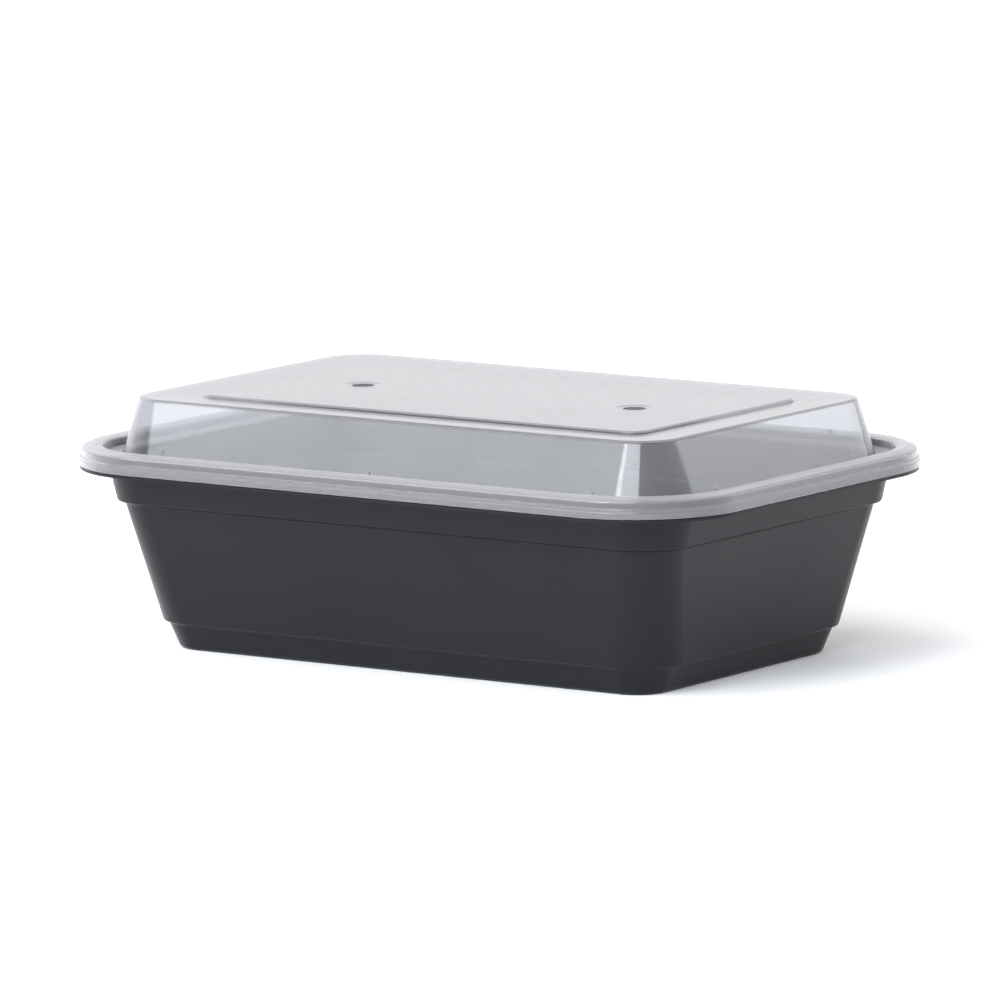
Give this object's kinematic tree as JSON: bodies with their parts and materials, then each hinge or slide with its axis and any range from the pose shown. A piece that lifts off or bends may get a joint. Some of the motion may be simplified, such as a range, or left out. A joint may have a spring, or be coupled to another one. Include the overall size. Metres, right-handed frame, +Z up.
{
  "type": "takeaway meal container with lid",
  "caption": "Rectangular takeaway tray in dark moulded plastic with stepped tapering walls, closed by a clear domed lid that clips over its rim and has round vents.",
  "frame": {"origin": "middle of the flat base, on the surface the container stands on", "axes": "+X along the container's length, +Y across its width, +Z up out of the tray through the lid"},
  "size_m": [0.2222, 0.1504, 0.0739],
  "materials": {
    "tray_plastic": "dark grey injection-moulded polypropylene, satin",
    "lid_plastic": "clear, slightly milky injection-moulded polypropylene"
  },
  "bodies": {
    "root": {"tray": "tray_plastic", "lid": "lid_plastic"}
  },
  "joints": []
}
